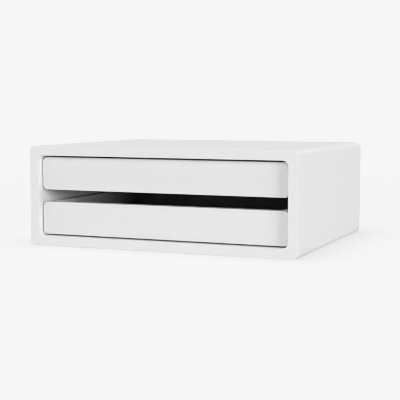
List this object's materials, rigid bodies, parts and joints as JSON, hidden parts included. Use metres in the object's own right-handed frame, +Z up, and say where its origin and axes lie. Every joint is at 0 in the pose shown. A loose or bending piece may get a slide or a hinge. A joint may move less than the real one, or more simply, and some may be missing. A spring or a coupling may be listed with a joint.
{
  "type": "cd storage drawer",
  "caption": "Low lacquered desktop cabinet with shallow inset drawers for disc cases, pulled open by the finger gap between their fronts.",
  "frame": {"origin": "on the standing surface, under the middle of the cabinet", "axes": "+X to the right as seen from the drawer fronts, +Y from the fronts towards the back, +Z up"},
  "size_m": [0.354, 0.3, 0.126],
  "materials": {
    "lacquered_board": "satin white lacquer on fibreboard",
    "dyed_hardboard": "smooth hardboard dyed black right through",
    "bare_hardwood": "bare planed beech",
    "runner_plastic": "matt white nylon",
    "soft_pads": "pale matt silicone",
    "bright_steel": "bright drawn wire",
    "zinc_screws": "bright zinc plate"
  },
  "bodies": {
    "cabinet": {"top_panel": "lacquered_board", "bottom_panel": "lacquered_board", "left_side_panel": "lacquered_board", "right_side_panel": "lacquered_board", "back_panel": "lacquered_board", "mitre_tongues": "bare_hardwood", "back_panel_pins": "bright_steel", "lower_left_runner": "runner_plastic", "lower_right_runner": "runner_plastic", "upper_left_runner": "runner_plastic", "upper_right_runner": "runner_plastic", "runner_screws": "zinc_screws", "runner_pads": "soft_pads"},
    "lower_drawer": {"lower_drawer_front": "lacquered_board", "lower_drawer_left_side": "lacquered_board", "lower_drawer_right_side": "lacquered_board", "lower_drawer_back": "lacquered_board", "lower_drawer_bottom": "dyed_hardboard", "lower_drawer_dowels": "bare_hardwood", "lower_drawer_bottom_screws": "zinc_screws"},
    "upper_drawer": {"upper_drawer_front": "lacquered_board", "upper_drawer_left_side": "lacquered_board", "upper_drawer_right_side": "lacquered_board", "upper_drawer_back": "lacquered_board", "upper_drawer_bottom": "dyed_hardboard", "upper_drawer_dowels": "bare_hardwood", "upper_drawer_bottom_screws": "zinc_screws"}
  },
  "joints": [
    {"name": "lower_drawer_slide", "type": "slide", "parent": "cabinet", "child": "lower_drawer", "axis": [0, -1, 0], "range_m": [0, 0.2]},
    {"name": "upper_drawer_slide", "type": "slide", "parent": "cabinet", "child": "upper_drawer", "axis": [0, -1, 0], "range_m": [0, 0.2]}
  ]
}
